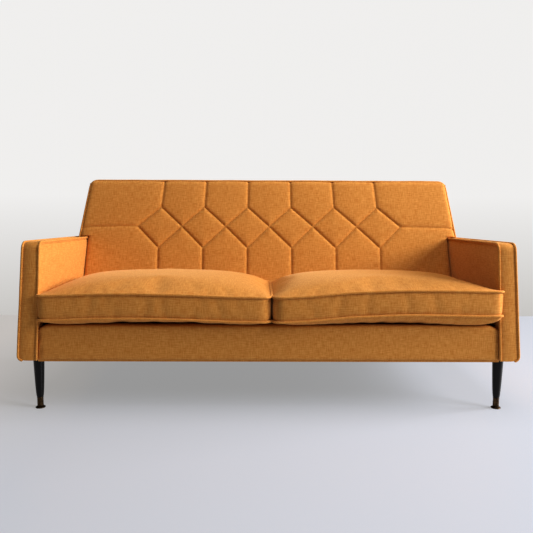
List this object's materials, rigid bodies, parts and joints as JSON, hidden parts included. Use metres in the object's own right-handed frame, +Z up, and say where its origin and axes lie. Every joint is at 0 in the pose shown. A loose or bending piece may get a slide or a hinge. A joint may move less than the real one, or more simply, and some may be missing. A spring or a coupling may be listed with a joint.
{
  "type": "upholstered sofa",
  "caption": "Upholstered sofa with diamond-stitched raked back, leaning padded arms, loose box seat cushions and turned tapered legs with brass ferrules and swivel glides.",
  "frame": {"origin": "on the floor, under the middle of the sofa's overall box", "axes": "+X to the right of someone facing the sofa, along its width; +Y towards its back; +Z up"},
  "size_m": [1.797, 0.763, 0.851],
  "materials": {
    "mustard_upholstery": "slub plain weave",
    "hardwood": "sawn and planed, unfinished",
    "jute_webbing": "woven strap",
    "cushion_foam": "open-cell foam",
    "black_lining": "matte cloth",
    "black_lacquered_wood": "satin lacquer",
    "aged_brass": "aged satin",
    "zinc_steel": "zinc plated"
  },
  "bodies": {
    "sofa_frame": {"back_border": "mustard_upholstery", "back_bottom_rail": "hardwood", "back_centre_post": "hardwood", "back_pad": "mustard_upholstery", "back_top_rail": "hardwood", "back_webbing": "jute_webbing", "centre_stretcher": "hardwood", "dust_cover": "black_lining", "front_rail": "hardwood", "front_rail_cover": "mustard_upholstery", "left_arm_front_post": "hardwood", "left_arm_front_strip": "mustard_upholstery", "left_arm_inner_pad": "mustard_upholstery", "left_arm_outer_panel": "mustard_upholstery", "left_arm_rear_post": "hardwood", "left_arm_top_rail": "hardwood", "left_back_post": "hardwood", "left_front_corner_block": "hardwood", "left_front_ferrule": "aged_brass", "left_front_leg": "black_lacquered_wood", "left_front_leg_plate": "zinc_steel", "left_rear_corner_block": "hardwood", "left_rear_ferrule": "aged_brass", "left_rear_leg": "black_lacquered_wood", "left_rear_leg_plate": "zinc_steel", "left_side_rail": "hardwood", "left_sill": "hardwood", "left_wing_block": "hardwood", "outside_back": "mustard_upholstery", "rear_rail": "hardwood", "right_arm_front_post": "hardwood", "right_arm_front_strip": "mustard_upholstery", "right_arm_inner_pad": "mustard_upholstery", "right_arm_outer_panel": "mustard_upholstery", "right_arm_rear_post": "hardwood", "right_arm_top_rail": "hardwood", "right_back_post": "hardwood", "right_front_corner_block": "hardwood", "right_front_ferrule": "aged_brass", "right_front_leg": "black_lacquered_wood", "right_front_leg_plate": "zinc_steel", "right_rear_corner_block": "hardwood", "right_rear_ferrule": "aged_brass", "right_rear_leg": "black_lacquered_wood", "right_rear_leg_plate": "zinc_steel", "right_side_rail": "hardwood", "right_sill": "hardwood", "right_wing_block": "hardwood", "seat_back_rail": "hardwood", "seat_deck": "black_lining", "seat_webbing": "jute_webbing"},
    "left_cushion": {"left_seat_cushion": "mustard_upholstery", "left_cushion_foam": "cushion_foam"},
    "right_cushion": {"right_seat_cushion": "mustard_upholstery", "right_cushion_foam": "cushion_foam"},
    "left_front_glide": {"left_front_glide": "aged_brass"},
    "left_rear_glide": {"left_rear_glide": "aged_brass"},
    "right_front_glide": {"right_front_glide": "aged_brass"},
    "right_rear_glide": {"right_rear_glide": "aged_brass"}
  },
  "joints": [
    {"name": "left_cushion_lift", "type": "slide", "parent": "sofa_frame", "child": "left_cushion", "axis": [0, 0, 1], "range_m": [0, 0.55]},
    {"name": "right_cushion_lift", "type": "slide", "parent": "sofa_frame", "child": "right_cushion", "axis": [0, 0, 1], "range_m": [0, 0.55]},
    {"name": "left_front_glide_swivel", "type": "hinge", "parent": "sofa_frame", "child": "left_front_glide", "pos_m": [-0.84, -0.3245, 0], "axis": [0, 0, 1], "continuous": true},
    {"name": "left_rear_glide_swivel", "type": "hinge", "parent": "sofa_frame", "child": "left_rear_glide", "pos_m": [-0.862, 0.3455, 0], "axis": [0, 0, 1], "continuous": true},
    {"name": "right_front_glide_swivel", "type": "hinge", "parent": "sofa_frame", "child": "right_front_glide", "pos_m": [0.84, -0.3245, 0], "axis": [0, 0, 1], "continuous": true},
    {"name": "right_rear_glide_swivel", "type": "hinge", "parent": "sofa_frame", "child": "right_rear_glide", "pos_m": [0.862, 0.3455, 0], "axis": [0, 0, 1], "continuous": true}
  ]
}
